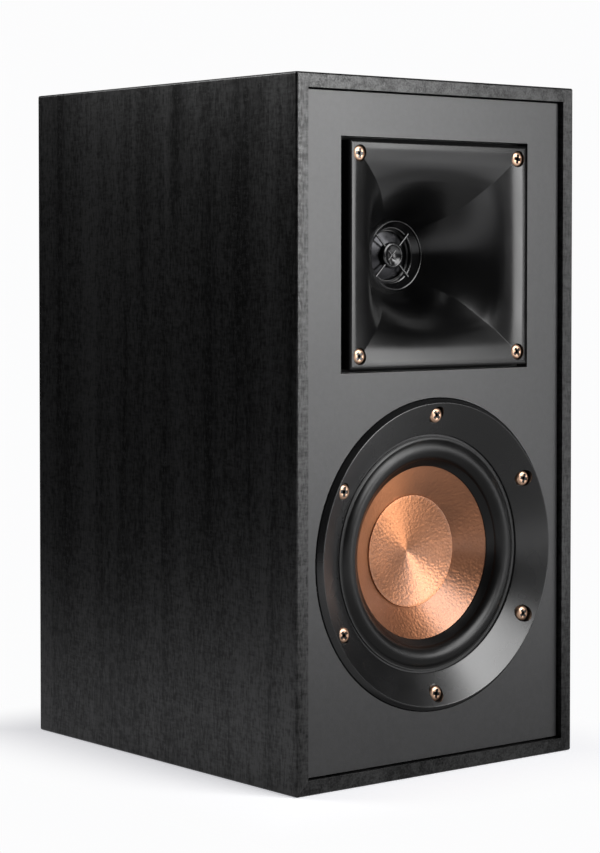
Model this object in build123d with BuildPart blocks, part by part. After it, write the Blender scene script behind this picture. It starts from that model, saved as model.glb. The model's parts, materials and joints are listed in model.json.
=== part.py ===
"""Two-way bookshelf loudspeaker: mitred cabinet, square horn tweeter and round woofer.

Millimetres. The origin is the centre of the cabinet's underside, the front faces -Y, +X is to
the right as seen from the front and +Z is up. Depths of the front parts are measured from the
plane of the front rim, depths of the rear parts from the plane of the rear rim.
"""
from build123d import *
from math import asin, cos, pi, radians, sin
import os

# --- Cabinet ---------------------------------------------------------------------------------
WIDTH = 181.0
DEPTH = 218.0
HEIGHT = 338.0
WALL = 15.0                     # mitred, vinyl-wrapped board
RIM = 7.0                       # thickness of the board left beside the front and back panels
EDGE_ROUND = 1.0
INSET = 3.0                     # front and back panels lie this far below the rims
BAFFLE = 18.0
BACK = 15.0
REVEAL = 0.8                    # shadow line around the baffle
FIT = 0.1                       # glued joints inside the cabinet

BRACE_HEIGHT = 188.0
BRACE = 12.0
BRACE_WINDOW = (104.0, 110.0, 20.0)
PAD = (11.0, 90.0, 140.0)       # damping pad on each side board
PAD_CENTRE = 25.0               # behind the middle of the depth

# --- Horn and tweeter ------------------------------------------------------------------------
HORN_Z = 253.2
HORN = (116.0, 108.6)           # front plate
HORN_BEVEL = 1.3
HORN_SEAT = 10.0                # depth of the plate's skirt
HORN_SKIN = 3.6
HORN_POCKET = (122.4, 112.2)
HORN_THROUGH = (92.0, 86.0, 8.0)
HORN_SCREWS = (103.6, 96.1)
HORN_RIB = 2.5                  # thickness of the plate's skirt
HORN_BOSS = 9.5                 # side of the square boss under each screw
GASKET = 1.0
GASKET_MARGIN = 0.2
# depth, then half width and half height of the flare at its creases and midway between them
FLARE = (
    (0.0, 55.1, 51.6, 55.6, 52.1), (0.9, 48.1, 45.0, 48.6, 45.5), (2.0, 43.8, 41.0, 45.2, 42.0),
    (3.4, 39.5, 37.0, 43.1, 39.4), (5.0, 36.3, 34.0, 41.5, 37.4), (7.0, 33.1, 31.0, 39.7, 35.2),
    (11.3, 27.9, 25.6, 35.6, 31.0), (16.0, 23.4, 21.2, 31.2, 27.2), (22.0, 18.9, 17.5, 25.9, 23.2),
    (33.5, 12.09, 12.09, 17.1, 17.1),
)
FLARE_WALL = 2.2
THROAT = FLARE[-1][0]
THROAT_RADIUS = 17.1
TWEETER_SEAT = 41.0             # back face of the horn's driver flange
TWEETER_FLANGE = 36.0
TWEETER_BOLTS = 31.5
TWEETER_BOLT_COUNT = 4
THROAT_WALL = 20.0              # radius of the bore that holds the phase plug
THROAT_BOSS = 24.0
SEAT_RADIUS = 26.5              # shallow seat of the diaphragm's mount ring
SEAT = 1.6
SPOKE = (35.8, 37.0, 0.9)       # front, back and width of the phase plug's spokes
SPOKE_LENGTH = 30.4
HUB = (6.6, 35.2)               # radius and front of the disc that the spokes hold
PLUG_BORE = 13.3
PLUG_END = 38.4
DOME_RADIUS = 12.3
DOME_CROWN = 37.8               # depth of the dome's middle
DOME_RISE = 2.0
DOME_SKIN = 0.3
COIL_INNER = 12.35              # tweeter's voice coil and the inner edge of its suspension

# --- Woofer ----------------------------------------------------------------------------------
WOOFER_Z = 107.0
RING_RADIUS = 76.5
RING_CREST = 74.3
RING_BORE = 58.65
RING_DIP = 8.0                  # depth of the ring's inner edge
FLANGE_DEPTH = 9.0              # front face of the basket's flange
SHEET = 1.5                     # pressed steel of the basket
WOOFER_REBATE = FLANGE_DEPTH + SHEET + GASKET
WOOFER_THROUGH = 62.5
WOOFER_BOLTS = 68.3
WOOFER_BOLT_COUNT = 6
CONE_EDGE = 42.6                # where the surround's inner flange ends
CONE_DEPTH = 13.1               # depth of the cone's face there
CONE_SLOPE = 0.60
CONE_SKIN = 0.8
RUBBER = 0.6
CAP_EDGE = 27.7                 # dust cap
FORMER = 12.65                  # inner radius of the voice-coil former
MOTOR = 52.0                    # depth of the magnet system's front face
FLANGE_RADIUS = 75.5
LEDGE = 55.6                    # the surround is glued down outside this radius
SHELF = 34.0                    # depth of the spider's landing
SURROUND_EDGE = 57.6
ROLL_FOOT = 46.0                # inner end of the surround's half roll
ROLL_CREST = (51.0, 6.4)
ROLL_END = 55.8
NECK = 13.0
WAVES = 5                       # folds of the spider
WAVE = 1.2
STRIP = (14.0, 1.6, 18.0)
STRIP_TAB = (4.8, 6.0, 0.8)

# --- Rear ------------------------------------------------------------------------------------
PORT_Z = 262.0
PORT_RADIUS = 20.0
PORT_WALL = 2.5
PORT_FLARE = 14.0
PORT_FLANGE = 37.0
PORT_LENGTH = 102.0
PORT_FACE = 0.3                 # depth of the flange's face
PORT_HOLE = 31.0
CUP_Z = 95.0
CUP_FLANGE = (84.0, 72.0)
CUP_MOUTH = (57.0, 45.0)
CUP_CORNER = 6.0
CUP_FACE = 0.5                  # depth of the flange's face
CUP_EDGE = 0.8
CUP_FLOOR = 32.0
CUP_WALL = 2.5
CUP_SCREWS = (72.0, 60.0)
CUP_SCREW_SINK = (3.3, 1.2)     # radius and depth of the sink for a screw's head
POST_PITCH = 19.05
POSTS = {"positive": 1, "negative": -1}
STUD = 3.5
STUD_TAIL = 3.0
STUD_END = 46.0
SOCKET = 2.05                   # bore for a 4 mm plug
SOCKET_END = 21.3
WIRE_HOLE = 1.3
WIRE_HOLE_DEPTH = 23.2
COLLAR = 4.0
COLLAR_RADIUS = 7.2
STUB = 4.5                      # radius of the collar's spigot in the cup's floor
SHOULDER = 1.5
SHOULDER_RADIUS = 6.3
WASHER = 1.5
WASHER_RADIUS = 6.5
CAP_END = 5.0
CAP_RADIUS = 7.0
CAP_MOUTH = 2.6
CAP_SKIN = 0.9
KNURLS = 16
KNURL_RADIUS = 0.65
SLIDE = 0.08                    # gap between a stud and what moves on it
NUT = (5.5, 3.5)                # corner radius and thickness

# --- Crossover -------------------------------------------------------------------------------
BOARD = (124.0, 76.0, 1.6)
BOARD_SCREWS = (108.0, 62.0)
BOARD_CENTRE = 22.0
BOARD_HOLE = 1.7
SPACER = 4.0
SPACER_RADIUS = 4.0
COILS = {"woofer_inductor": (-34.0, 20.0, 20.0), "tweeter_inductor": (36.0, 14.0, 14.0)}
COIL_FLANGE = 1.5
CAPACITORS = ((-18.0, 7.5, 28.0), (16.0, 6.0, 24.0))    # offset, radius and length
CAPACITOR_X = 4.0
RESISTOR = (22.0, 9.5, 9.5)
RESISTOR_SPOT = (36.0, -24.0)

# --- Screws ----------------------------------------------------------------------------------
HEAD = 3.5
HEAD_HEIGHT = 2.4
SHANK = 1.75
PILOT = SHANK + 0.05
PASSAGE = SHANK + 0.25          # holes that a screw drops through
SMALL_SHANK = 1.5
SMALL_PILOT = SMALL_SHANK + 0.05

os.makedirs("parts", exist_ok=True)


def save(piece, node):
    piece.part.label = node
    export_step(piece.part, f"parts/{node}.step")


def front(depth=0.0, height=0.0):
    """Plane facing the listener, depth below the front rim, with its y axis up."""
    return Plane(origin=(0, depth - DEPTH / 2, height), x_dir=(1, 0, 0), z_dir=(0, -1, 0))


def rear(depth=0.0, height=0.0, across=0.0):
    """Plane facing backwards, depth below the rear rim, with its y axis up."""
    return Plane(origin=(across, DEPTH / 2 - depth, height), x_dir=(-1, 0, 0), z_dir=(0, 1, 0))


def front_section(height):
    """Radius and depth below the front rim, in the level plane through a front axis."""
    return Plane(origin=(0, -DEPTH / 2, height), x_dir=(1, 0, 0), z_dir=(0, 0, 1))


def rear_section(height, across=0.0):
    """Radius and depth below the rear rim, in the level plane through a rear axis."""
    return Plane(origin=(across, DEPTH / 2, height), x_dir=(1, 0, 0), z_dir=(0, 0, -1))


def axis_of(plane):
    return Axis(plane.origin, plane.y_dir)


def turned(node, plane, outline):
    """Solid of revolution from (radius, depth) corners."""
    with BuildPart() as piece:
        with BuildSketch(plane):
            with BuildLine():
                Polyline(*outline, close=True)
            make_face()
        revolve(axis=axis_of(plane))
    save(piece, node)


def tube(node, plane, inner, outer, start, end):
    turned(node, plane, [(inner, start), (outer, start), (outer, end), (inner, end)])


def screw(length, head=HEAD, head_height=HEAD_HEIGHT, shank=SHANK):
    """Cross-head screw along +Y, its head's crown at the origin."""
    with BuildPart() as piece:
        with BuildSketch(Plane.XY):
            with BuildLine():
                Polyline((0, head_height / 2), (0, 0), (head * 0.55, 0))
                ThreePointArc((head * 0.55, 0), (head * 0.9, 0.55), (head, 1.3))
                Polyline((head, 1.3), (head, head_height), (shank, head_height), (shank, length - 2))
                Polyline((shank, length - 2), (0, length), (0, head_height / 2))
            make_face()
        revolve(axis=Axis.Y)
        with BuildSketch(Plane.XZ):
            Rectangle(head * 1.1, head * 0.26)
            Rectangle(head * 0.26, head * 1.1)
        extrude(amount=-1.3, mode=Mode.SUBTRACT)
    return piece.part


def screws(node, spots, one):
    with BuildPart() as group:
        with Locations(*spots):
            add(one)
    save(group, node)


def ring_spots(radius, count, depth, height, first=90.0):
    """Points on a bolt circle about a front axis."""
    turns = [radians(first + 360.0 * n / count) for n in range(count)]
    return [(radius * cos(t), depth - DEPTH / 2, height + radius * sin(t)) for t in turns]


def box_spots(size, y, height):
    return [(sx * size[0] / 2, y, height + sz * size[1] / 2) for sx in (-1, 1) for sz in (-1, 1)]


# --- Cabinet boards --------------------------------------------------------------------------
middle = HEIGHT / 2
with BuildPart() as carcass:
    with BuildSketch(Plane.XY):
        Rectangle(WIDTH, DEPTH)
    extrude(amount=HEIGHT)
    fillet(carcass.edges(), EDGE_ROUND)
    with BuildSketch(front(0, middle)):
        Rectangle(WIDTH - 2 * WALL, HEIGHT - 2 * WALL)
    extrude(amount=-DEPTH, mode=Mode.SUBTRACT)
    with BuildSketch(front(0, middle)):
        Rectangle(WIDTH - 2 * RIM, HEIGHT - 2 * RIM)
    extrude(amount=-(INSET + BAFFLE), mode=Mode.SUBTRACT)
    with BuildSketch(rear(0, middle)):
        Rectangle(WIDTH - 2 * RIM, HEIGHT - 2 * RIM)
    extrude(amount=-(INSET + BACK), mode=Mode.SUBTRACT)

board_spots = [(sx * BOARD_SCREWS[0] / 2, BOARD_CENTRE + sy * BOARD_SCREWS[1] / 2)
               for sx in (-1, 1) for sy in (-1, 1)]

half, inner = WIDTH / 2, WIDTH / 2 - WALL
side = [(-half, 0), (-inner, WALL), (-inner, HEIGHT - WALL), (-half, HEIGHT)]
base = [(-half, 0), (-inner, WALL), (inner, WALL), (half, 0)]
boards = {
    "side_panel_left": side,
    "side_panel_right": [(-x, z) for x, z in side],
    "bottom_panel": base,
    "top_panel": [(x, HEIGHT - z) for x, z in base],
}
for node, corners in boards.items():
    with BuildPart() as board:
        add(carcass.part)
        with BuildSketch(front()):
            with BuildLine():
                Polyline(*corners, close=True)
            make_face()
        extrude(amount=-DEPTH, mode=Mode.INTERSECT)
        if node == "bottom_panel":
            with BuildSketch(Plane.XY.offset(WALL)):
                with Locations(*board_spots):
                    Circle(SMALL_SHANK)
            extrude(amount=-8, mode=Mode.SUBTRACT)
    save(board, node)

panel_size = (WIDTH - 2 * RIM, HEIGHT - 2 * RIM)
with BuildPart() as front_baffle:
    with BuildSketch(front(INSET, middle)):
        Rectangle(panel_size[0] - 2 * REVEAL, panel_size[1] - 2 * REVEAL)
    extrude(amount=-BAFFLE)
    with BuildSketch(front(INSET, WOOFER_Z)):
        Circle(RING_RADIUS + 0.4)
    extrude(amount=-(WOOFER_REBATE - INSET), mode=Mode.SUBTRACT)
    with BuildSketch(front(INSET, WOOFER_Z)):
        Circle(WOOFER_THROUGH)
    extrude(amount=-BAFFLE, mode=Mode.SUBTRACT)
    with BuildSketch(front(INSET, HORN_Z)):
        Rectangle(*HORN_POCKET)
    extrude(amount=-(HORN_SEAT + GASKET - INSET), mode=Mode.SUBTRACT)
    with BuildSketch(front(INSET, HORN_Z)):
        RectangleRounded(*HORN_THROUGH)
    extrude(amount=-BAFFLE, mode=Mode.SUBTRACT)
    with BuildSketch(front(INSET, HORN_Z)):
        with GridLocations(*HORN_SCREWS, 2, 2):
            Circle(PILOT)
    extrude(amount=-(BAFFLE - 1), mode=Mode.SUBTRACT)
    with BuildSketch(front(INSET, WOOFER_Z)):
        with PolarLocations(WOOFER_BOLTS, WOOFER_BOLT_COUNT, start_angle=90):
            Circle(PILOT)
    extrude(amount=-(BAFFLE - 1), mode=Mode.SUBTRACT)
save(front_baffle, "front_baffle")

with BuildPart() as back_panel:
    with BuildSketch(rear(INSET, middle)):
        Rectangle(panel_size[0] - 2 * FIT, panel_size[1] - 2 * FIT)
    extrude(amount=-BACK)
    with BuildSketch(rear(INSET, PORT_Z)):
        Circle(PORT_HOLE)
    extrude(amount=-BACK, mode=Mode.SUBTRACT)
    with BuildSketch(rear(INSET, CUP_Z)):
        RectangleRounded(CUP_MOUTH[0] + 2 * CUP_WALL + 1, CUP_MOUTH[1] + 2 * CUP_WALL + 1, CUP_CORNER)
    extrude(amount=-BACK, mode=Mode.SUBTRACT)
    with BuildSketch(rear(INSET, CUP_Z)):
        with GridLocations(*CUP_SCREWS, 2, 2):
            Circle(SMALL_PILOT)
    extrude(amount=-(BACK - 1), mode=Mode.SUBTRACT)
save(back_panel, "back_panel")

cavity = DEPTH - 2 * INSET - BAFFLE - BACK
with BuildPart() as shelf_brace:
    with BuildSketch(front(INSET + BAFFLE, BRACE_HEIGHT)):
        Rectangle(WIDTH - 2 * WALL - 2 * FIT, BRACE)
    extrude(amount=-cavity)
    window_centre = (BAFFLE - BACK) / 2
    with BuildSketch(Plane.XY.offset(BRACE_HEIGHT)):
        with Locations((0, window_centre)):
            RectangleRounded(*BRACE_WINDOW)
    extrude(amount=BRACE, both=True, mode=Mode.SUBTRACT)
save(shelf_brace, "shelf_brace")

with BuildPart() as damping_pads:
    pad_x = WIDTH / 2 - WALL - PAD[0] / 2
    with Locations(*[(x, PAD_CENTRE, WALL + PAD[2] / 2) for x in (-pad_x, pad_x)]):
        Box(*PAD)
save(damping_pads, "damping_pads")



# --- Horn ------------------------------------------------------------------------------------
def flare(wall=0.0, first=0):
    """Loft through sections with four bowed sides, moved out and back by a wall's thickness."""
    with BuildPart() as shape:
        for depth, *reach in FLARE[first:]:
            x, y, wide, high = [value + wall for value in reach]
            with BuildSketch(front(depth + wall, HORN_Z)):
                with BuildLine():
                    ThreePointArc((-x, y), (0, high), (x, y))
                    ThreePointArc((x, y), (wide, 0), (x, -y))
                    ThreePointArc((x, -y), (0, -high), (-x, -y))
                    ThreePointArc((-x, -y), (-wide, 0), (-x, y))
                make_face()
        loft(ruled=True)
    return shape.part


flare_body = flare(FLARE_WALL, first=1)
flare_bore = flare()
with BuildPart() as horn:
    with BuildSketch(front(0, HORN_Z)):
        Rectangle(*HORN)
    extrude(amount=-HORN_SKIN)
    rim_edges = horn.faces().sort_by(Axis.Y)[0].edges()
    chamfer(rim_edges, HORN_BEVEL)
    with BuildSketch(front(HORN_SKIN, HORN_Z)):
        Rectangle(*HORN)
        Rectangle(HORN[0] - 2 * HORN_RIB, HORN[1] - 2 * HORN_RIB, mode=Mode.SUBTRACT)
        with GridLocations(*HORN_SCREWS, 2, 2):
            Rectangle(HORN_BOSS, HORN_BOSS)
    extrude(amount=-(HORN_SEAT - HORN_SKIN))
    add(flare_body)
    with BuildSketch(front(TWEETER_SEAT, HORN_Z)):
        Circle(TWEETER_FLANGE)
    extrude(amount=6)
    with BuildSketch(front(TWEETER_SEAT, HORN_Z)):
        Circle(THROAT_BOSS)
    extrude(amount=12)
    add(flare_bore, mode=Mode.SUBTRACT)
    with BuildSketch(front(THROAT, HORN_Z)):
        Circle(THROAT_WALL)
    extrude(amount=-(TWEETER_SEAT - THROAT), mode=Mode.SUBTRACT)
    with BuildSketch(front(TWEETER_SEAT, HORN_Z)):
        Circle(SEAT_RADIUS)
    extrude(amount=SEAT, mode=Mode.SUBTRACT)
    with BuildSketch(front(TWEETER_SEAT, HORN_Z)):
        with PolarLocations(TWEETER_BOLTS, TWEETER_BOLT_COUNT, start_angle=45):
            Circle(SMALL_PILOT)
    extrude(amount=5, mode=Mode.SUBTRACT)
    with BuildSketch(front(0, HORN_Z)):
        with GridLocations(*HORN_SCREWS, 2, 2):
            Circle(HEAD + 0.5)
    extrude(amount=-2.8, mode=Mode.SUBTRACT)
    with BuildSketch(front(0, HORN_Z)):
        with GridLocations(*HORN_SCREWS, 2, 2):
            Circle(PASSAGE)
    extrude(amount=-HORN_SEAT, mode=Mode.SUBTRACT)
save(horn, "horn")

with BuildPart() as horn_gasket:
    with BuildSketch(front(HORN_SEAT, HORN_Z)):
        Rectangle(HORN_POCKET[0] - 2 * GASKET_MARGIN, HORN_POCKET[1] - 2 * GASKET_MARGIN)
        RectangleRounded(*HORN_THROUGH, mode=Mode.SUBTRACT)
        with GridLocations(*HORN_SCREWS, 2, 2):
            Circle(PASSAGE, mode=Mode.SUBTRACT)
    extrude(amount=-GASKET)
save(horn_gasket, "horn_gasket")
horn_spots = box_spots(HORN_SCREWS, 0.4 - DEPTH / 2, HORN_Z)
screws("horn_screws", horn_spots, screw(19))

# --- Tweeter ---------------------------------------------------------------------------------
horn_axis = front_section(HORN_Z)
with BuildPart() as phase_plug:
    with BuildSketch(horn_axis):
        with BuildLine():
            Polyline((THROAT_RADIUS, THROAT), (PLUG_BORE, PLUG_END - 0.4), (PLUG_BORE, PLUG_END),
                     (THROAT_WALL - FIT, PLUG_END), (THROAT_WALL - FIT, THROAT), close=True)
        make_face()
    revolve(axis=axis_of(horn_axis))
    with BuildSketch(front(SPOKE[0], HORN_Z)):
        Rectangle(SPOKE_LENGTH, SPOKE[2], rotation=45)
        Rectangle(SPOKE_LENGTH, SPOKE[2], rotation=-45)
    extrude(amount=-(SPOKE[1] - SPOKE[0]))
    with BuildSketch(front(HUB[1], HORN_Z)):
        Circle(HUB[0])
    extrude(amount=-(SPOKE[1] - HUB[1]))
save(phase_plug, "phase_plug")

ball = (DOME_RADIUS ** 2 + DOME_RISE ** 2) / (2 * DOME_RISE)
slope = asin(DOME_RADIUS / ball)


def dome_point(radius, turn):
    return (radius * sin(turn), DOME_CROWN + ball - radius * cos(turn))


with BuildPart() as tweeter_dome:
    with BuildSketch(horn_axis):
        with BuildLine():
            under = ball - DOME_SKIN
            ThreePointArc(dome_point(ball, 0), dome_point(ball, slope / 2), dome_point(ball, slope))
            Line(dome_point(ball, slope), dome_point(under, slope))
            ThreePointArc(dome_point(under, slope), dome_point(under, slope / 2), dome_point(under, 0))
            Line(dome_point(under, 0), dome_point(ball, 0))
        make_face()
    revolve(axis=axis_of(horn_axis))
save(tweeter_dome, "tweeter_dome")

with BuildPart() as tweeter_suspension:
    with BuildSketch(horn_axis):
        with BuildLine():
            Line((COIL_INNER, 39.8), (12.8, 39.8))
            ThreePointArc((12.8, 39.8), (14.7, 39.2), (16.6, 39.9))
            Polyline((16.6, 39.9), (19.5, 39.9), (19.5, 40.2), (16.6, 40.2))
            ThreePointArc((16.6, 40.2), (14.7, 39.5), (12.8, 40.1))
            Polyline((12.8, 40.1), (COIL_INNER, 40.1), (COIL_INNER, 39.8))
        make_face()
    revolve(axis=axis_of(horn_axis))
save(tweeter_suspension, "tweeter_suspension")

tube("tweeter_voice_coil", horn_axis, COIL_INNER, COIL_INNER + 0.8, 40.15, 46.0)
tube("tweeter_mount_ring", horn_axis, 16.8, 26.0, 40.2, TWEETER_SEAT)
tube("tweeter_magnet", horn_axis, 16.0, 28.0, 45.0, 55.0)
turned("tweeter_yoke", horn_axis, [(2, 41.5), (11.95, 41.5), (11.95, 55), (27, 55), (27, 59), (2, 59)])
with BuildPart() as tweeter_top_plate:
    with BuildSketch(front(TWEETER_SEAT, HORN_Z)):
        Circle(TWEETER_FLANGE - 0.5)
        Circle(13.55, mode=Mode.SUBTRACT)
        with PolarLocations(TWEETER_BOLTS, TWEETER_BOLT_COUNT, start_angle=45):
            Circle(SMALL_SHANK + 0.2, mode=Mode.SUBTRACT)
    extrude(amount=-4)
save(tweeter_top_plate, "tweeter_top_plate")
tweeter_screw = screw(10.4, head=2.8, head_height=1.9, shank=SMALL_SHANK).rotate(Axis.Z, 180)
tweeter_spots = ring_spots(TWEETER_BOLTS, TWEETER_BOLT_COUNT, 46.9, HORN_Z, first=45)
screws("tweeter_screws", tweeter_spots, tweeter_screw)

# --- Woofer ----------------------------------------------------------------------------------
woofer_axis = front_section(WOOFER_Z)


def cone_face(radius):
    """Depth of the cone's front face at a radius."""
    return CONE_DEPTH + (CONE_EDGE - radius) * CONE_SLOPE


with BuildPart() as woofer_trim_ring:
    with BuildSketch(woofer_axis):
        with BuildLine():
            Polyline((RING_CREST, 0), (RING_RADIUS, INSET), (RING_RADIUS, FLANGE_DEPTH),
                     (RING_BORE, FLANGE_DEPTH), (RING_BORE, RING_DIP), close=True)
        make_face()
    revolve(axis=axis_of(woofer_axis))
    with BuildSketch(front(0, WOOFER_Z)):
        with PolarLocations(WOOFER_BOLTS, WOOFER_BOLT_COUNT, start_angle=90):
            Circle(HEAD + 0.7)
    extrude(amount=-5.2, mode=Mode.SUBTRACT)
    with BuildSketch(front(0, WOOFER_Z)):
        with PolarLocations(WOOFER_BOLTS, WOOFER_BOLT_COUNT, start_angle=90):
            Circle(PASSAGE)
    extrude(amount=-FLANGE_DEPTH, mode=Mode.SUBTRACT)
save(woofer_trim_ring, "woofer_trim_ring")
woofer_spots = ring_spots(WOOFER_BOLTS, WOOFER_BOLT_COUNT, 2.8, WOOFER_Z)
screws("woofer_screws", woofer_spots, screw(16.5))

with BuildPart() as woofer_basket:
    with BuildSketch(woofer_axis):
        with BuildLine():
            Polyline((FLANGE_RADIUS, FLANGE_DEPTH), (LEDGE, FLANGE_DEPTH), (LEDGE, 14), (47, SHELF),
                     (37, SHELF), (35, MOTOR - SHEET), (16, MOTOR - SHEET), (16, MOTOR),
                     (36.3, MOTOR), (38.3, SHELF + SHEET), (48.1, SHELF + SHEET),
                     (LEDGE + SHEET, 14.3), (LEDGE + SHEET, FLANGE_DEPTH + SHEET),
                     (FLANGE_RADIUS, FLANGE_DEPTH + SHEET), close=True)
        make_face()
    revolve(axis=axis_of(woofer_axis))
    with BuildSketch(front(15.5, WOOFER_Z)):
        with PolarLocations(52, 5, start_angle=0):
            Rectangle(20, 38)
    extrude(amount=-(SHELF - 16.5), mode=Mode.SUBTRACT)
    with BuildSketch(front(FLANGE_DEPTH, WOOFER_Z)):
        with PolarLocations(WOOFER_BOLTS, WOOFER_BOLT_COUNT, start_angle=90):
            Circle(SHANK + 0.4)
    extrude(amount=-SHEET, mode=Mode.SUBTRACT)
save(woofer_basket, "woofer_basket")

with BuildPart() as woofer_gasket:
    with BuildSketch(front(FLANGE_DEPTH + SHEET, WOOFER_Z)):
        Circle(FLANGE_RADIUS)
        Circle(WOOFER_THROUGH + 0.5, mode=Mode.SUBTRACT)
        with PolarLocations(WOOFER_BOLTS, WOOFER_BOLT_COUNT, start_angle=90):
            Circle(SHANK + 0.4, mode=Mode.SUBTRACT)
    extrude(amount=-GASKET)
save(woofer_gasket, "woofer_gasket")

with BuildPart() as woofer_surround:
    land = FLANGE_DEPTH - RUBBER
    lip = cone_face(ROLL_FOOT) - RUBBER
    with BuildSketch(woofer_axis):
        with BuildLine():
            under_foot = (ROLL_FOOT + 0.4, cone_face(ROLL_FOOT + 0.4))
            under_crest = (ROLL_CREST[0], ROLL_CREST[1] + RUBBER)
            under_end = (ROLL_END - 0.4, FLANGE_DEPTH)
            Line((CONE_EDGE, cone_face(CONE_EDGE) - RUBBER), (ROLL_FOOT, lip))
            ThreePointArc((ROLL_FOOT, lip), ROLL_CREST, (ROLL_END, land))
            Polyline((ROLL_END, land), (SURROUND_EDGE, land), (SURROUND_EDGE, FLANGE_DEPTH), under_end)
            ThreePointArc(under_end, under_crest, under_foot)
            Polyline(under_foot, (CONE_EDGE, cone_face(CONE_EDGE)),
                     (CONE_EDGE, cone_face(CONE_EDGE) - RUBBER))
        make_face()
    revolve(axis=axis_of(woofer_axis))
save(woofer_surround, "woofer_surround")

cone_end = ROLL_FOOT + 0.5
turned("woofer_cone", woofer_axis, [
    (cone_end, cone_face(cone_end)), (NECK, cone_face(NECK)),
    (NECK, cone_face(NECK) + CONE_SKIN), (cone_end, cone_face(cone_end) + CONE_SKIN)])
turned("woofer_dust_cap", woofer_axis, [
    (0, 25.2), (CAP_EDGE, 21.5), (CAP_EDGE, cone_face(CAP_EDGE) - 0.04), (26.5, 22.25), (0, 25.8)])
tube("woofer_coil_former", woofer_axis, FORMER, FORMER + 0.3, 29.5, 62.0)
tube("woofer_voice_coil", woofer_axis, FORMER + 0.3, FORMER + 1.0, 49.0, 61.0)
tube("woofer_top_plate", woofer_axis, FORMER + 1.4, 38.0, MOTOR, MOTOR + 6)
tube("woofer_magnet", woofer_axis, 20.0, 45.0, MOTOR + 6, MOTOR + 24)
turned("woofer_yoke", woofer_axis, [
    (4, MOTOR), (FORMER - 0.4, MOTOR), (FORMER - 0.4, MOTOR + 24), (38, MOTOR + 24),
    (38, MOTOR + 30), (4, MOTOR + 30)])

folds = [(15 + n * 11 / WAVES, SHELF - RUBBER - WAVE * (n % 2)) for n in range(2 * WAVES + 1)]
spider_front = [(NECK, SHELF - RUBBER)] + folds + [(45, SHELF - RUBBER)]
spider_back = [(r, d + RUBBER) for r, d in reversed(spider_front)]
turned("woofer_spider", woofer_axis, spider_front + spider_back)

with BuildPart() as woofer_terminal_strip:
    strip_y = SHELF + SHEET - DEPTH / 2
    tab_y = strip_y + STRIP[1] + STRIP_TAB[1] / 2
    with Locations((-47, strip_y + STRIP[1] / 2, WOOFER_Z)):
        Box(*STRIP)
    with Locations((-51, tab_y, WOOFER_Z - 5), (-51, tab_y, WOOFER_Z + 5)):
        Box(*STRIP_TAB)
save(woofer_terminal_strip, "woofer_terminal_strip")

# --- Port ------------------------------------------------------------------------------------
port_axis = rear_section(PORT_Z)
with BuildPart() as port_tube:
    mouth = PORT_RADIUS + PORT_FLARE
    bend = PORT_FLARE * (1 - cos(pi / 4))
    end = PORT_LENGTH
    with BuildSketch(port_axis):
        with BuildLine():
            throat = PORT_FLARE + PORT_FACE
            Line((PORT_FLANGE, PORT_FACE), (mouth, PORT_FACE))
            ThreePointArc((mouth, PORT_FACE), (PORT_RADIUS + bend, bend + PORT_FACE),
                          (PORT_RADIUS, throat))
            Line((PORT_RADIUS, throat), (PORT_RADIUS, end - 10))
            ThreePointArc((PORT_RADIUS, end - 10), (PORT_RADIUS + 1.4, end - 4.5), (PORT_RADIUS + 6, end))
            Polyline((PORT_RADIUS + 6, end), (PORT_RADIUS + 8, end - 1.5),
                     (PORT_RADIUS + PORT_WALL, end - 10), (PORT_RADIUS + PORT_WALL, 18),
                     (PORT_HOLE - 0.5, INSET), (PORT_FLANGE, INSET), (PORT_FLANGE, PORT_FACE))
        make_face()
    revolve(axis=axis_of(port_axis))
save(port_tube, "port_tube")

# --- Terminal cup and binding posts ----------------------------------------------------------
with BuildPart() as terminal_cup:
    with BuildSketch(rear(CUP_FACE, CUP_Z)):
        RectangleRounded(*CUP_FLANGE, CUP_CORNER)
    extrude(amount=-(INSET - CUP_FACE))
    fillet(terminal_cup.faces().sort_by(Axis.Y)[-1].edges(), CUP_EDGE)
    with BuildSketch(rear(INSET, CUP_Z)):
        RectangleRounded(CUP_MOUTH[0] + 2 * CUP_WALL, CUP_MOUTH[1] + 2 * CUP_WALL, CUP_CORNER)
    extrude(amount=-(CUP_FLOOR + CUP_WALL - INSET))
    with BuildSketch(rear(CUP_FACE, CUP_Z)):
        RectangleRounded(*CUP_MOUTH, CUP_CORNER - 1)
    extrude(amount=-(CUP_FLOOR - CUP_FACE), mode=Mode.SUBTRACT)
    fillet(terminal_cup.faces().sort_by(Axis.Y)[-1].inner_wires()[0].edges(), CUP_EDGE)
    with BuildSketch(rear(CUP_FLOOR, CUP_Z)):
        with GridLocations(POST_PITCH, 1, 2, 1):
            Circle(STUB + 0.05)
    extrude(amount=-CUP_WALL, mode=Mode.SUBTRACT)
    with BuildSketch(rear(CUP_FACE, CUP_Z)):
        with GridLocations(*CUP_SCREWS, 2, 2):
            Circle(CUP_SCREW_SINK[0])
    extrude(amount=-CUP_SCREW_SINK[1], mode=Mode.SUBTRACT)
    with BuildSketch(rear(CUP_FACE, CUP_Z)):
        with GridLocations(*CUP_SCREWS, 2, 2):
            Circle(SMALL_SHANK + 0.2)
    extrude(amount=-INSET, mode=Mode.SUBTRACT)
save(terminal_cup, "terminal_cup")
cup_screw = screw(13, head=3.0, head_height=1.6, shank=SMALL_SHANK).rotate(Axis.Z, 180)
screws("terminal_cup_screws", box_spots(CUP_SCREWS, DEPTH / 2 - 0.1, CUP_Z), cup_screw)

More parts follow.
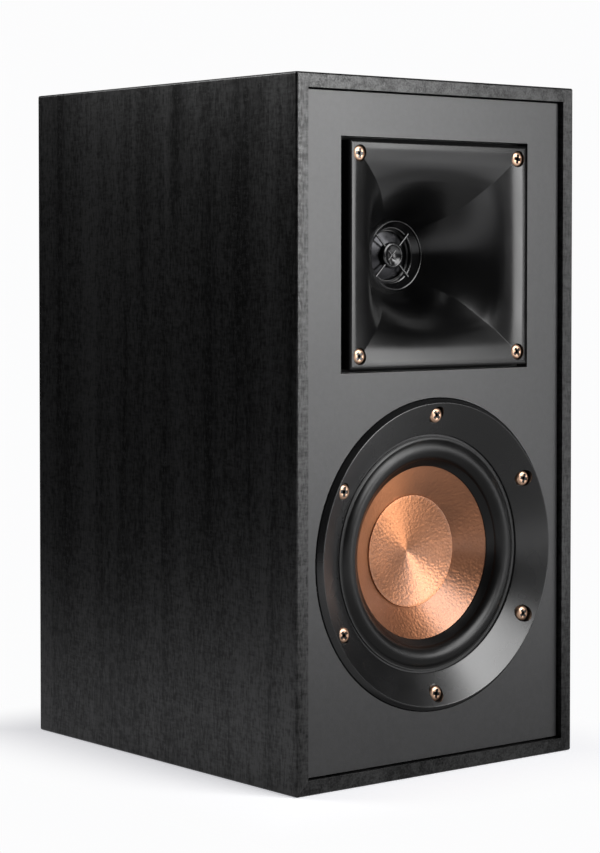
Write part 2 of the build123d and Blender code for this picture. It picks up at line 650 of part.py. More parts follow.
collar_at = CUP_FLOOR - COLLAR
shoulder_at = collar_at - SHOULDER
washer_at = shoulder_at - WASHER
spigot_end = CUP_FLOOR + CUP_WALL + 1
for name, way in POSTS.items():
    axis_plane = rear_section(CUP_Z, way * POST_PITCH / 2)
    turned(f"{name}_post_collar", axis_plane, [
        (STUD_TAIL + 0.05, collar_at), (COLLAR_RADIUS, collar_at), (COLLAR_RADIUS, CUP_FLOOR),
        (STUB, CUP_FLOOR), (STUB, spigot_end), (STUD_TAIL + 0.05, spigot_end)])
    with BuildPart() as stud:
        with BuildSketch(axis_plane):
            with BuildLine():
                Polyline((0, SOCKET_END), (SOCKET, SOCKET_END), (SOCKET, CAP_END + 1),
                         (STUD, CAP_END + 1), (STUD, shoulder_at), (SHOULDER_RADIUS, shoulder_at),
                         (SHOULDER_RADIUS, collar_at), (STUD_TAIL, collar_at),
                         (STUD_TAIL, STUD_END), (0, STUD_END), close=True)
            make_face()
        revolve(axis=axis_of(axis_plane))
        with BuildSketch(Plane.XY.offset(CUP_Z)):
            with Locations((way * POST_PITCH / 2, DEPTH / 2 - WIRE_HOLE_DEPTH)):
                Circle(WIRE_HOLE)
        extrude(amount=STUD + 1, both=True, mode=Mode.SUBTRACT)
    save(stud, f"{name}_post_stud")
    tube(f"{name}_post_washer", axis_plane, STUD + SLIDE, WASHER_RADIUS, washer_at, shoulder_at)
    with BuildPart() as cap:
        with BuildSketch(axis_plane):
            with BuildLine():
                Polyline((CAP_MOUTH, CAP_END), (CAP_RADIUS - 1, CAP_END), (CAP_RADIUS, CAP_END + 1),
                         (CAP_RADIUS, washer_at - 0.6), (CAP_RADIUS - 0.6, washer_at),
                         (STUD + SLIDE, washer_at), (STUD + SLIDE, CAP_END + CAP_SKIN),
                         (CAP_MOUTH, CAP_END + CAP_SKIN), close=True)
            make_face()
        revolve(axis=axis_of(axis_plane))
        with BuildSketch(rear(CAP_END - 1, CUP_Z, way * POST_PITCH / 2)):
            with PolarLocations(CAP_RADIUS + 0.2, KNURLS):
                Circle(KNURL_RADIUS)
        extrude(amount=-(washer_at - CAP_END - 3), mode=Mode.SUBTRACT)
    save(cap, f"{name}_post_cap")

with BuildPart() as post_nuts:
    with BuildSketch(rear(spigot_end, CUP_Z)):
        with GridLocations(POST_PITCH, 1, 2, 1):
            RegularPolygon(NUT[0], 6)
            Circle(STUD_TAIL + 0.05, mode=Mode.SUBTRACT)
    extrude(amount=-NUT[1])
save(post_nuts, "post_nuts")

# --- Crossover -------------------------------------------------------------------------------
board_top = WALL + SPACER + BOARD[2]
with BuildPart() as crossover_board:
    with BuildSketch(Plane.XY.offset(WALL + SPACER)):
        with Locations((0, BOARD_CENTRE)):
            RectangleRounded(BOARD[0], BOARD[1], 3)
        with Locations(*board_spots):
            Circle(BOARD_HOLE, mode=Mode.SUBTRACT)
    extrude(amount=BOARD[2])
save(crossover_board, "crossover_board")
with BuildPart() as board_spacers:
    with BuildSketch(Plane.XY.offset(WALL)):
        with Locations(*board_spots):
            Circle(SPACER_RADIUS)
        with Locations(*board_spots):
            Circle(BOARD_HOLE, mode=Mode.SUBTRACT)
    extrude(amount=SPACER)
save(board_spacers, "board_spacers")
board_screw = screw(13.5, head=3.0, head_height=1.9, shank=SMALL_SHANK - 0.05).rotate(Axis.X, -90)
screws("board_screws", [(x, y, board_top + 1.9) for x, y in board_spots], board_screw)

for node, (x, radius, tall) in COILS.items():
    core = radius * 0.42
    rim = radius + 1
    coil_plane = Plane(origin=(x, BOARD_CENTRE, board_top), x_dir=(1, 0, 0), z_dir=(0, -1, 0))
    turned(f"{node}_bobbin", coil_plane, [
        (core - 2, 0), (rim, 0), (rim, COIL_FLANGE), (core, COIL_FLANGE),
        (core, tall - COIL_FLANGE), (rim, tall - COIL_FLANGE), (rim, tall), (core - 2, tall)])
    tube(f"{node}_winding", coil_plane, core + 0.05, radius, COIL_FLANGE + 0.1,
         tall - COIL_FLANGE - 0.1)

with BuildPart() as crossover_capacitors:
    for offset, radius, long in CAPACITORS:
        with BuildSketch(Plane.XZ.offset(long / 2 - BOARD_CENTRE - offset)):
            with Locations((CAPACITOR_X, board_top + radius)):
                Circle(radius)
        extrude(amount=-long)
save(crossover_capacitors, "crossover_capacitors")
with BuildPart() as crossover_resistor:
    with Locations((RESISTOR_SPOT[0], BOARD_CENTRE + RESISTOR_SPOT[1], board_top + RESISTOR[2] / 2)):
        Box(*RESISTOR)
save(crossover_resistor, "crossover_resistor")
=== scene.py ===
"""Looks of a two-way bookshelf loudspeaker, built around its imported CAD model.

Outlines are in millimetres. A front outline's points are (radius, depth below the front rim), a
rear outline's are (radius, depth below the rear rim), both about an axis that runs along Y.
"""

import json
from math import atan2, copysign, cos, hypot, pi, radians, sin, sqrt, tan

import bmesh
import bpy
from mathutils import Euler, Matrix, Vector


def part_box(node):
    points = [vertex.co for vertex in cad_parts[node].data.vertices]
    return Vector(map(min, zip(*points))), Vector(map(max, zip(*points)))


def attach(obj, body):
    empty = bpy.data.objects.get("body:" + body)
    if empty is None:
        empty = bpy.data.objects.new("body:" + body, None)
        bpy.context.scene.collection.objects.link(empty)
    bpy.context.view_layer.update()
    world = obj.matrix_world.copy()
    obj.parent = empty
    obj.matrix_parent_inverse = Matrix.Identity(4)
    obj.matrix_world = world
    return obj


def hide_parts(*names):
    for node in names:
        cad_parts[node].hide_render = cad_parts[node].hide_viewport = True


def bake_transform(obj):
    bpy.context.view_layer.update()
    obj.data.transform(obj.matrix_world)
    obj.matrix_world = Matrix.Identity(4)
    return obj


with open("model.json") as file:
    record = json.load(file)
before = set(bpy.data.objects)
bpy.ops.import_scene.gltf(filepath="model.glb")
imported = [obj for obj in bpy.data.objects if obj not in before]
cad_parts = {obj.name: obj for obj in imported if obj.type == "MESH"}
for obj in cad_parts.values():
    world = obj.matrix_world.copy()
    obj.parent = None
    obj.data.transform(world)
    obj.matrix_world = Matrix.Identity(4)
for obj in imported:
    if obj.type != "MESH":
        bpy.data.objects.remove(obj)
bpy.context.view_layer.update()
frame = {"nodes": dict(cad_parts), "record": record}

MM = 0.001
FRONT, REAR = 1, -1
CABINET, WOOFER, TWEETER = "cabinet", "woofer_diaphragm", "tweeter_diaphragm"
nodes = frame["nodes"]

# --- Sizes that come from the frame, in millimetres --------------------------------------------
cabinet_low, cabinet_high = (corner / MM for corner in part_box("side_panel_left"))
HEIGHT = cabinet_high.z
WIDTH = -2 * cabinet_low.x
RIM_FRONT, RIM_REAR = cabinet_low.y, cabinet_high.y


def centre_of(node):
    low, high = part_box(node)
    return (low + high) / 2 / MM


HORN_Z = centre_of("horn").z
WOOFER_Z = centre_of("woofer_trim_ring").z
PORT_Z = centre_of("port_tube").z


# --- Mesh helpers ------------------------------------------------------------------------------
SHARP_ANGLE = 32.0  # degrees above which an edge stays crisp


def place(x, depth, up, centre_z, centre_x=0.0, facing=FRONT):
    """Metres from a point beside an axis along Y and its depth below the rim it faces."""
    y = RIM_FRONT + depth if facing == FRONT else RIM_REAR - depth
    return Vector((centre_x + x, y, centre_z + up)) * MM


def new_piece(name, points, faces, sharp=SHARP_ANGLE):
    """A closed mesh, shaded smooth except at edges above an angle in degrees."""
    mesh = bpy.data.meshes.new(name)
    mesh.from_pydata([tuple(p) for p in points], [], faces)
    bm = bmesh.new()
    bm.from_mesh(mesh)
    bmesh.ops.recalc_face_normals(bm, faces=bm.faces)
    bm.to_mesh(mesh)
    bm.free()
    piece = bpy.data.objects.new(name, mesh)
    bpy.context.scene.collection.objects.link(piece)
    shade(piece, sharp)
    return piece


def shade(piece, sharp=SHARP_ANGLE):
    piece.data.shade_smooth()
    piece.data.set_sharp_from_angle(angle=radians(sharp))


def arc(start, middle, end, steps=12):
    """Points of the circle through three points, from the first to the last."""
    ax, ay = start
    bx, by = middle[0] - ax, middle[1] - ay
    cx, cy = end[0] - ax, end[1] - ay
    twice = 2 * (bx * cy - by * cx)
    ux = (cy * (bx * bx + by * by) - by * (cx * cx + cy * cy)) / twice
    uy = (bx * (cx * cx + cy * cy) - cx * (bx * bx + by * by)) / twice
    radius = hypot(ux, uy)
    first, through, last = atan2(-uy, -ux), atan2(by - uy, bx - ux), atan2(cy - uy, cx - ux)
    span, part = (last - first) % (2 * pi), (through - first) % (2 * pi)
    if part > span:
        span -= 2 * pi
    turns = [first + span * n / steps for n in range(steps + 1)]
    return [(ax + ux + radius * cos(t), ay + uy + radius * sin(t)) for t in turns]


def soften(corners, steps=4):
    """Closed outline whose corners (x, y, rounding) are rounded; a corner without one is sharp."""
    outline = []
    for n, corner in enumerate(corners):
        here = Vector(corner[:2])
        rounding = corner[2] if len(corner) > 2 else 0.0
        if rounding == 0.0:
            outline.append(tuple(here))
            continue
        before = Vector(corners[n - 1][:2]) - here
        after = Vector(corners[(n + 1) % len(corners)][:2]) - here
        turn = before.angle(after)
        reach = min(rounding / tan(turn / 2), 0.48 * before.length, 0.48 * after.length)
        start, end = here + before.normalized() * reach, here + after.normalized() * reach
        for step in range(steps + 1):
            t = step / steps
            outline.append(tuple(start * (1 - t) ** 2 + here * 2 * t * (1 - t) + end * t ** 2))
    return outline


def spun(outline, segments, at):
    """Points and faces of a closed outline of (radius, depth) turned about an axis.

    at(x, depth, z) gives the place of a point beside the axis.
    """
    points, faces, rings = [], [], []
    for radius, depth in outline:
        if radius < 1e-6:
            rings.append([len(points)] * segments)
            points.append(at(0, depth, 0))
            continue
        rings.append(list(range(len(points), len(points) + segments)))
        for n in range(segments):
            t = 2 * pi * n / segments
            points.append(at(radius * cos(t), depth, radius * sin(t)))
    for ring, following in zip(rings, rings[1:] + rings[:1]):
        for n in range(segments):
            m = (n + 1) % segments
            corners = list(dict.fromkeys((ring[n], ring[m], following[m], following[n])))
            if len(corners) > 2:
                faces.append(corners)
    return points, faces


def turned(name, outline, centre_z, centre_x=0.0, facing=FRONT, segments=160, sharp=SHARP_ANGLE):
    """Solid of revolution about an axis along Y, from a closed outline of (radius, depth)."""
    points, faces = spun(outline, segments,
                         lambda x, depth, z: place(x, depth, z, centre_z, centre_x, facing))
    return new_piece(name, points, faces, sharp)


def cut(piece, *cutters, sharp=SHARP_ANGLE):
    """Takes the cutters away from a piece, and shades it again."""
    for cutter in cutters:
        modifier = piece.modifiers.new("cut", "BOOLEAN")
        modifier.operation = "DIFFERENCE"
        modifier.solver = "EXACT"
        modifier.object = cutter
    bake_modifiers(piece)
    for cutter in cutters:
        bpy.data.objects.remove(cutter, do_unlink=True)
    shade(piece, sharp)
    return piece


def bake_modifiers(piece):
    graph = bpy.context.evaluated_depsgraph_get()
    mesh = bpy.data.meshes.new_from_object(piece.evaluated_get(graph))
    old = piece.data
    piece.modifiers.clear()
    piece.data = mesh
    bpy.data.meshes.remove(old)


def gathered(name, placed):
    """One piece from pairs of a piece and a matrix; the pieces are used up."""
    bm = bmesh.new()
    for piece, matrix in placed:
        before = len(bm.verts)
        bm.from_mesh(piece.data)
        bm.verts.ensure_lookup_table()
        bmesh.ops.transform(bm, matrix=matrix, verts=bm.verts[before:])
    mesh = bpy.data.meshes.new(name)
    bm.to_mesh(mesh)
    bm.free()
    for piece in dict.fromkeys(piece for piece, matrix in placed):
        bpy.data.objects.remove(piece, do_unlink=True)
    whole = bpy.data.objects.new(name, mesh)
    bpy.context.scene.collection.objects.link(whole)
    shade(whole)
    return whole


def joined(name, pieces):
    """One piece from several."""
    return gathered(name, [(piece, piece.matrix_world) for piece in pieces])


def copies(name, piece, matrices):
    """One piece made of a copy of a piece at each matrix."""
    return gathered(name, [(piece, matrix) for matrix in matrices])


def ring_spots(radius, count):
    """Spots round a circle, the first of them at the top."""
    turns = [radians(90.0 + 360.0 * n / count) for n in range(count)]
    return [(radius * cos(t), radius * sin(t)) for t in turns]


def box_spots(width, height):
    """The four corners of a rectangle about the centre."""
    return [(sx * width / 2, sz * height / 2) for sx in (-1, 1) for sz in (-1, 1)]


def hole(spot, radius, start, end, centre_z):
    """Cutter for a round hole in the front, which begins a little above its start."""
    above = start - 2
    outline = [(0, above), (radius, above), (radius, end), (0, end)]
    return turned("cutter", outline, centre_z + spot[1], spot[0], segments=48)


# --- Materials ---------------------------------------------------------------------------------
class Shader:
    """A Principled material with short ways to add noise, ramps, bumps and mixes."""

    def __init__(self, name, colour, roughness, metallic=0.0, **constants):
        self.material = bpy.data.materials.new(name)
        self.material.use_nodes = True
        self.tree = self.material.node_tree
        self.principled = self.tree.nodes["Principled BSDF"]
        self.set("Base Color", (*colour, 1.0))
        self.set("Roughness", roughness)
        self.set("Metallic", metallic)
        for socket, value in constants.items():
            self.set(socket.replace("_", " "), value)
        self.colour = colour
        self.coordinates = self.node("ShaderNodeTexCoord").outputs["Object"]
        self.last_bump = None

    def set(self, socket, value):
        self.principled.inputs[socket].default_value = value

    def node(self, kind, **settings):
        made = self.tree.nodes.new(kind)
        for key, value in settings.items():
            setattr(made, key, value)
        return made

    def link(self, output, target):
        self.tree.links.new(output, target)

    def stretched(self, scale):
        """Object coordinates times a scale for each axis."""
        mapping = self.node("ShaderNodeMapping")
        mapping.inputs["Scale"].default_value = scale
        self.link(self.coordinates, mapping.inputs["Vector"])
        return mapping.outputs["Vector"]

    def noise(self, scale, detail=3.0, roughness=0.55, distortion=0.0, vector=None):
        made = self.node("ShaderNodeTexNoise")
        made.inputs["Scale"].default_value = scale
        made.inputs["Detail"].default_value = detail
        made.inputs["Roughness"].default_value = roughness
        made.inputs["Distortion"].default_value = distortion
        self.link(vector if vector is not None else self.coordinates, made.inputs["Vector"])
        return made.outputs["Fac"]

    def cells(self, scale, feature="F1"):
        made = self.node("ShaderNodeTexVoronoi", feature=feature)
        made.inputs["Scale"].default_value = scale
        self.link(self.coordinates, made.inputs["Vector"])
        return made.outputs["Distance"]

    def math(self, operation, first, second=0.0):
        made = self.node("ShaderNodeMath", operation=operation)
        for socket, value in zip(made.inputs, (first, second)):
            if isinstance(value, (int, float)):
                socket.default_value = value
            else:
                self.link(value, socket)
        return made.outputs[0]

    def ramp(self, factor, low, high, start=0.35, end=0.65):
        """Runs a value from low to high while the factor goes from start to end."""
        made = self.node("ShaderNodeMapRange")
        limits = {"From Min": start, "From Max": end, "To Min": low, "To Max": high}
        for socket, value in limits.items():
            made.inputs[socket].default_value = value
        self.link(factor, made.inputs["Value"])
        return made.outputs["Result"]

    def mix(self, factor, first, second):
        """Mixes two colours, each a tuple or an output."""
        made = self.node("ShaderNodeMix", data_type="RGBA")
        self.link(factor, made.inputs[0])
        for socket, value in ((made.inputs[6], first), (made.inputs[7], second)):
            if isinstance(value, tuple):
                socket.default_value = (*value, 1.0)
            else:
                self.link(value, socket)
        return made.outputs[2]

    def tint(self, factor, low=0.8, high=1.2, start=0.35, end=0.65):
        """Base colour that varies between two multiples of the material's colour."""
        ramp = self.ramp(factor, 0.0, 1.0, start, end)
        darker = tuple(c * low for c in self.colour)
        lighter = tuple(c * high for c in self.colour)
        output = self.mix(ramp, darker, lighter)
        self.link(output, self.principled.inputs["Base Color"])
        return output

    def gloss(self, factor, low, high, start=0.3, end=0.7):
        self.link(self.ramp(factor, low, high, start, end), self.principled.inputs["Roughness"])

    def bump(self, height, strength, distance):
        """Adds a bump of a distance in metres on top of the ones before it."""
        made = self.node("ShaderNodeBump")
        made.inputs["Strength"].default_value = strength
        made.inputs["Distance"].default_value = distance
        self.link(height, made.inputs["Height"])
        if self.last_bump is not None:
            self.link(self.last_bump, made.inputs["Normal"])
        self.last_bump = made.outputs["Normal"]
        self.link(self.last_bump, self.principled.inputs["Normal"])


def vinyl_wrap(along):
    """Black ash-grained wrap, its grain along one axis: long pores, cross ripples, broad bands."""
    shader = Shader(f"vinyl_wrap_{along}", (0.0045, 0.0045, 0.0047), 0.30, Specular_IOR_Level=0.46)

    def grain(across, long, detail, distortion=0.0):
        scale = {"z": (across, across, long), "y": (across, long, across)}[along]
        return shader.noise(1.0, detail, 0.55, distortion, vector=shader.stretched(scale))

    def blend(first, share, second):
        return shader.math("ADD", shader.math("MULTIPLY", first, share),
                           shader.math("MULTIPLY", second, 1 - share))

    pores = grain(1000.0, 240.0, 2.0)
    ripples = grain(260.0, 900.0, 2.0)
    bands = grain(60.0, 3.0, 3.0, 0.6)
    weave = blend(pores, 0.6, ripples)
    streaks = blend(weave, 0.7, bands)
    shader.tint(streaks, 0.3, 2.3, 0.41, 0.59)
    shader.gloss(bands, 0.26, 0.32)
    sheen = shader.ramp(streaks, 0.24, 0.62, 0.41, 0.59)
    shader.link(sheen, shader.principled.inputs["Specular IOR Level"])
    shader.bump(weave, 0.45, 0.00014)
    return shader.material


def baffle_vinyl():
    """Satin charcoal vinyl with a fine leathery grain."""
    shader = Shader("baffle_vinyl", (0.022, 0.022, 0.023), 0.34, Specular_IOR_Level=0.62)
    grain = shader.cells(1300.0)
    mottle = shader.noise(420.0, 4.0, 0.65)
    cloud = shader.noise(9.0, 2.0, 0.5)
    shader.tint(mottle, 0.86, 1.14, 0.35, 0.65)
    shader.gloss(cloud, 0.32, 0.35)
    shader.bump(grain, 0.28, 0.00005)
    shader.bump(mottle, 0.25, 0.00006)
    return shader.material


def moulded(name, colour, roughness, spark=0.12, level=0.5):
    """Injection-moulded plastic with a faint spark-eroded texture."""
    shader = Shader(name, colour, roughness, Specular_IOR_Level=level)
    fine = shader.noise(2600.0, 2.0, 0.6)
    flow = shader.noise(35.0, 3.0, 0.5)
    shader.tint(flow, 0.88, 1.12)
    shader.gloss(flow, roughness - 0.03, roughness + 0.04)
    shader.bump(fine, spark, 0.00002)
    return shader.material


def spun_copper(name, colour):
    """Copper-coloured metal, spun and finely hammered, brushed round its axis."""
    shader = Shader(name, colour, 0.48, 1.0, Anisotropic=0.86, Anisotropic_Rotation=0.25,
                    Coat_Weight=0.7, Coat_Roughness=0.28, Coat_IOR=1.6)
    tangent = shader.node("ShaderNodeTangent", direction_type="RADIAL", axis="Y")
    shader.link(tangent.outputs["Tangent"], shader.principled.inputs["Tangent"])
    hammer = shader.cells(760.0, feature="SMOOTH_F1")
    fine = shader.noise(1500.0, 3.0, 0.6)
    cloud = shader.noise(45.0, 3.0, 0.5)
    shader.tint(cloud, 0.88, 1.12)
    shader.gloss(fine, 0.44, 0.52)
    shader.bump(hammer, 0.75, 0.00019)
    shader.bump(fine, 0.30, 0.00004)
    return shader.material


def plated(name, colour, roughness, wear=0.15):
    """Plated metal with faint turning marks and a little unevenness."""
    shader = Shader(name, colour, roughness, 1.0)
    marks = shader.noise(1.0, 3.0, 0.6, vector=shader.stretched((300.0, 4200.0, 300.0)))
    cloud = shader.noise(180.0, 3.0, 0.55)
    shader.tint(cloud, 1 - wear, 1 + wear)
    shader.gloss(cloud, roughness - 0.06, roughness + 0.08)
    shader.bump(marks, 0.18, 0.00003)
    return shader.material


def rubber(name, roughness=0.32):
    """Moulded rubber, semi-matt, with a trace of bloom."""
    shader = Shader(name, (0.002, 0.002, 0.0021), roughness, Specular_IOR_Level=0.38)
    bloom = shader.noise(60.0, 4.0, 0.6)
    fine = shader.noise(1900.0, 2.0, 0.6)
    shader.tint(bloom, 0.8, 1.3)
    shader.gloss(bloom, roughness - 0.04, roughness + 0.06)
    shader.bump(fine, 0.12, 0.00002)
    return shader.material


def speckled(name, colour, roughness, scale, strength, depth, low=0.75, high=1.25):
    """Rough body with specks: fibreboard, ferrite, foam, cement or powder coat."""
    shader = Shader(name, colour, roughness)
    grain = shader.noise(scale, 5.0, 0.7)
    cloud = shader.noise(scale / 18, 3.0, 0.5)
    both = shader.math("ADD", shader.math("MULTIPLY", grain, 0.7), shader.math("MULTIPLY", cloud, 0.3))
    shader.tint(both, low, high, 0.38, 0.62)
    shader.gloss(grain, max(0.05, roughness - 0.08), min(1.0, roughness + 0.08))
    shader.bump(grain, strength, depth)
    return shader.material


def woven(name, colour, pitch, roughness=0.85):
    """Plain weave of a thread pitch in metres."""
    shader = Shader(name, colour, roughness)
    turns = 2 * pi / pitch
    split = shader.node("ShaderNodeSeparateXYZ")
    shader.link(shader.coordinates, split.inputs[0])
    warp = shader.math("SINE", shader.math("MULTIPLY", split.outputs["X"], turns))
    weft = shader.math("SINE", shader.math("MULTIPLY", split.outputs["Z"], turns))
    weave = shader.math("MULTIPLY", warp, weft)
    fuzz = shader.noise(900.0, 4.0, 0.7)
    shader.tint(fuzz, 0.75, 1.2)
    shader.gloss(fuzz, roughness - 0.08, min(1.0, roughness + 0.08))
    shader.bump(weave, 0.6, 0.0001)
    shader.bump(fuzz, 0.3, 0.0001)
    return shader.material


def wound_copper():
    """Enamelled wire laid in close turns."""
    shader = Shader("coil_copper", (0.62, 0.24, 0.09), 0.28, 1.0, Coat_Weight=0.5)
    split = shader.node("ShaderNodeSeparateXYZ")
    shader.link(shader.coordinates, split.inputs[0])
    wire_pitch = 0.0007
    turns = shader.math("SINE", shader.math("MULTIPLY", split.outputs["Z"], 2 * pi / wire_pitch))
    cloud = shader.noise(120.0, 3.0, 0.6)
    shader.tint(cloud, 0.8, 1.15)
    shader.gloss(cloud, 0.24, 0.36)
    shader.bump(turns, 0.8, 0.0002)
    return shader.material


MATERIALS = {
    "vinyl_wrap": vinyl_wrap("z"),
    "vinyl_top": vinyl_wrap("y"),
    "baffle_vinyl": baffle_vinyl(),
    "bare_board": speckled("bare_board", (0.42, 0.30, 0.18), 0.85, 700.0, 0.5, 0.0002),
    "horn_plastic": moulded("horn_plastic", (0.0015, 0.0015, 0.0016), 0.23, 0.08, 0.48),
    "ring_plastic": moulded("ring_plastic", (0.005, 0.005, 0.0053), 0.26, 0.08, 0.65),
    "dark_gloss": moulded("dark_gloss", (0.004, 0.004, 0.0043), 0.14, 0.03),
    # The cone's copper is darker than the cap's, though both are the same spun copper: painted shade on
    # the cone.
    "spun_copper": spun_copper("spun_copper", (0.34, 0.14, 0.065)),
    "cap_copper": spun_copper("cap_copper", (0.52, 0.215, 0.095)),
    "dome_metal": plated("dome_metal", (0.03, 0.03, 0.032), 0.24, 0.05),
    "copper_screw": plated("copper_screw", (0.66, 0.43, 0.30), 0.36, 0.08),
    "surround_rubber": rubber("surround_rubber"),
    "foam_gasket": speckled("foam_gasket", (0.02, 0.02, 0.02), 0.9, 1500.0, 0.7, 0.0002),
    "basket_steel": speckled("basket_steel", (0.025, 0.025, 0.026), 0.5, 1800.0, 0.3, 0.00005,
                             0.9, 1.1),
    "plated_steel": plated("plated_steel", (0.62, 0.62, 0.60), 0.32),
    "ferrite": speckled("ferrite", (0.09, 0.09, 0.095), 0.55, 1200.0, 0.35, 0.0001),
    "coil_copper": wound_copper(),
    "former_alloy": plated("former_alloy", (0.80, 0.80, 0.82), 0.35),
    "spider_cloth": woven("spider_cloth", (0.55, 0.36, 0.14), 0.0011),
    "pad_fibre": speckled("pad_fibre", (0.82, 0.82, 0.78), 0.95, 260.0, 1.0, 0.002, 0.8, 1.1),
    "board_resin": woven("board_resin", (0.03, 0.16, 0.07), 0.0008, 0.45),
    "nylon": moulded("nylon", (0.80, 0.80, 0.76), 0.5),
    "film_sleeve": moulded("film_sleeve", (0.06, 0.10, 0.36), 0.25),
    "cement": speckled("cement", (0.86, 0.84, 0.78), 0.85, 900.0, 0.5, 0.0002, 0.88, 1.08),
    "red_plastic": moulded("red_plastic", (0.50, 0.012, 0.012), 0.28),
    "black_plastic": moulded("black_plastic", (0.018, 0.018, 0.018), 0.28),
    "gold_plate": plated("gold_plate", (0.86, 0.58, 0.22), 0.22),
    "fibre_strip": speckled("fibre_strip", (0.26, 0.14, 0.06), 0.6, 900.0, 0.3, 0.0001),
}


def finish_piece(piece, body, slot, *replaced):
    """Gives a piece the material of a slot, hides the CAD parts that it stands for and puts it on its
    body.
    """
    piece.data.materials.clear()
    piece.data.materials.append(MATERIALS[slot])
    if replaced:
        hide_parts(*replaced)
    if body:
        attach(piece, body)


# --- CAD nodes that keep their shape -----------------------------------------------------------
slot_of = {part["node"]: part["material_slot"] for part in frame["record"]["subparts"]}
for node, piece in nodes.items():
    material = "vinyl_top" if node in ("top_panel", "bottom_panel") else slot_of[node]
    if not piece.material_slots:
        piece.data.materials.append(None)
    for part_slot in piece.material_slots:
        part_slot.material = MATERIALS[material]

# --- Screws ------------------------------------------------------------------------------------
HEAD_RADIUS = 3.8
HEAD_HEIGHT = 2.4
HEAD_ROUNDING = 0.15
SHANK_RADIUS = 1.75
SHANK_CLEARANCE = 0.25
CORE_RADIUS = SHANK_RADIUS * 0.72
THREAD_START = HEAD_HEIGHT + 0.8
THREAD_PITCH = 1.8
TIP_LENGTH = 3.0
RECESS_REACH = HEAD_RADIUS * 0.62
RECESS_WIDTH = RECESS_REACH * 0.36
RECESS_DEPTH = HEAD_HEIGHT * 0.85
RECESS_TAPER = 0.6
# Depth and height of the dark cross that is painted shade in each screw recess
SHADE_CROSS_DEPTH = 1.35
SHADE_CROSS_HEIGHT = HEAD_HEIGHT * 0.3
GOLDEN_TURN = 2.399963


def cross_bars(depth):
    """Two crossed bars that narrow towards their tip, as deep as a recess."""
    bars = []
    for turn in (0, pi / 2):
        points, faces = [], []
        for d, share in ((-1.0, 1.0), (0.0, 1.0), (depth, RECESS_TAPER)):
            for sx, sz in ((-1, -1), (1, -1), (1, 1), (-1, 1)):
                x, z = sx * RECESS_REACH * share, sz * RECESS_WIDTH * share
                across, up = x * cos(turn) - z * sin(turn), x * sin(turn) + z * cos(turn)
                points.append(Vector((across, d, up)) * MM)
        for low in (0, 4):
            faces += [(low + n, low + (n + 1) % 4, low + 4 + (n + 1) % 4, low + 4 + n) for n in range(4)]
        faces += [(0, 1, 2, 3), (8, 9, 10, 11)]
        bars.append(new_piece("cutter", points, faces))
    return bars


def cross_screw(name, length):
    """Pan-head screw along +Y, its crown at the origin, with a cross recess and a thread."""
    outline = [(0, 0)]
    outline += arc((HEAD_RADIUS * 0.45, 0.02), (HEAD_RADIUS * 0.85, 0.42), (HEAD_RADIUS, 1.15), 8)
    outline += [(HEAD_RADIUS, HEAD_HEIGHT - HEAD_ROUNDING), (HEAD_RADIUS - HEAD_ROUNDING, HEAD_HEIGHT),
                (SHANK_RADIUS, HEAD_HEIGHT)]
    end = length - TIP_LENGTH
    for n in range(int((end - THREAD_START) / THREAD_PITCH)):
        at = THREAD_START + n * THREAD_PITCH
        outline += [(SHANK_RADIUS, at + 0.5), (SHANK_RADIUS, at + 0.75),
                    (CORE_RADIUS, at + 1.1), (CORE_RADIUS, at + 1.6)]
    outline += [(CORE_RADIUS, end), (0, length)]
    points, faces = spun(outline, 40, lambda x, depth, z: Vector((x, depth, z)) * MM)
    return cut(new_piece(name, points, faces), *cross_bars(RECESS_DEPTH), sharp=28.0)


def painted_shade_cross(name):
    """Dark cross that fills the lower part of a screw's recess: painted shade, where the recess lies in
    shadow.
    """
    bars = cross_bars(SHADE_CROSS_HEIGHT)
    for bar in bars:
        bar.data.transform(Matrix.Translation((0, SHADE_CROSS_DEPTH * MM, 0)))
    return joined(name, bars)


def screw_group(name, spots, crown, centre_z, length):
    """Screws at several spots of the front, each turned by a different amount."""
    screw = cross_screw(name + "_one", length)
    matrices = []
    for n, (x, z) in enumerate(spots):
        turn = Matrix.Rotation(GOLDEN_TURN * (n + 1), 4, "Y")
        matrices.append(Matrix.Translation(place(x, crown, z, centre_z)) @ turn)
    # A dark cross in each recess is painted shade, not a part of the screw
    floor = painted_shade_cross(name + "_painted_shade_one")
    finish_piece(copies(name + "_painted_shade", floor, matrices), CABINET, "dark_gloss")
    finish_piece(copies(name + "_piece", screw, matrices), CABINET, "copper_screw", name)


# --- Horn --------------------------------------------------------------------------------------
HORN_HALF = (58.0, 54.3)
HORN_BEVEL = 1.3
HORN_SEAT = 10.0
HORN_SKIN = 3.6
HORN_SKIRT = 2.5
HORN_SCREWS = (103.6, 96.1)
HORN_SCREW_LENGTH = 19.0
HORN_SCREW_CROWN = 0.4
HORN_SCREW_SEAT = 2.8
THROAT_RADIUS = 17.1
# depth, then half width and half height of the flare at its creases and midway between them
FLARE = (
    (0.0, 55.5, 52.0, 56.0, 52.5), (0.12, 53.4, 49.9, 53.8, 50.3),
    (0.9, 48.1, 45.0, 48.6, 45.5), (2.0, 43.8, 41.0, 45.2, 42.0),
    (3.4, 39.5, 37.0, 43.1, 39.4), (5.0, 36.3, 34.0, 41.5, 37.4), (7.0, 33.1, 31.0, 39.7, 35.2),
    (11.3, 27.9, 25.6, 35.6, 31.0), (16.0, 23.4, 21.2, 31.2, 27.2), (22.0, 18.9, 17.5, 25.9, 23.2),
    (33.5, 12.09, 12.09, 17.1, 17.1),
)
FLARE_WALL = 2.2
FLARE_BACK = (2.4, 26.0)  # depths between which the flare's rear follows its front
# (radius, depth) of the throat boss and the flange that holds the driver
DRIVER_FLANGE = (
    (20.0, 33.5), (20.0, 39.4), (26.5, 39.4), (26.5, 41.0), (36.0, 41.0), (36.0, 35.0),
    (24.0, 35.0), (24.0, 29.0),
)
GATHERING = 1.6  # how much closer a side's points are near its corners


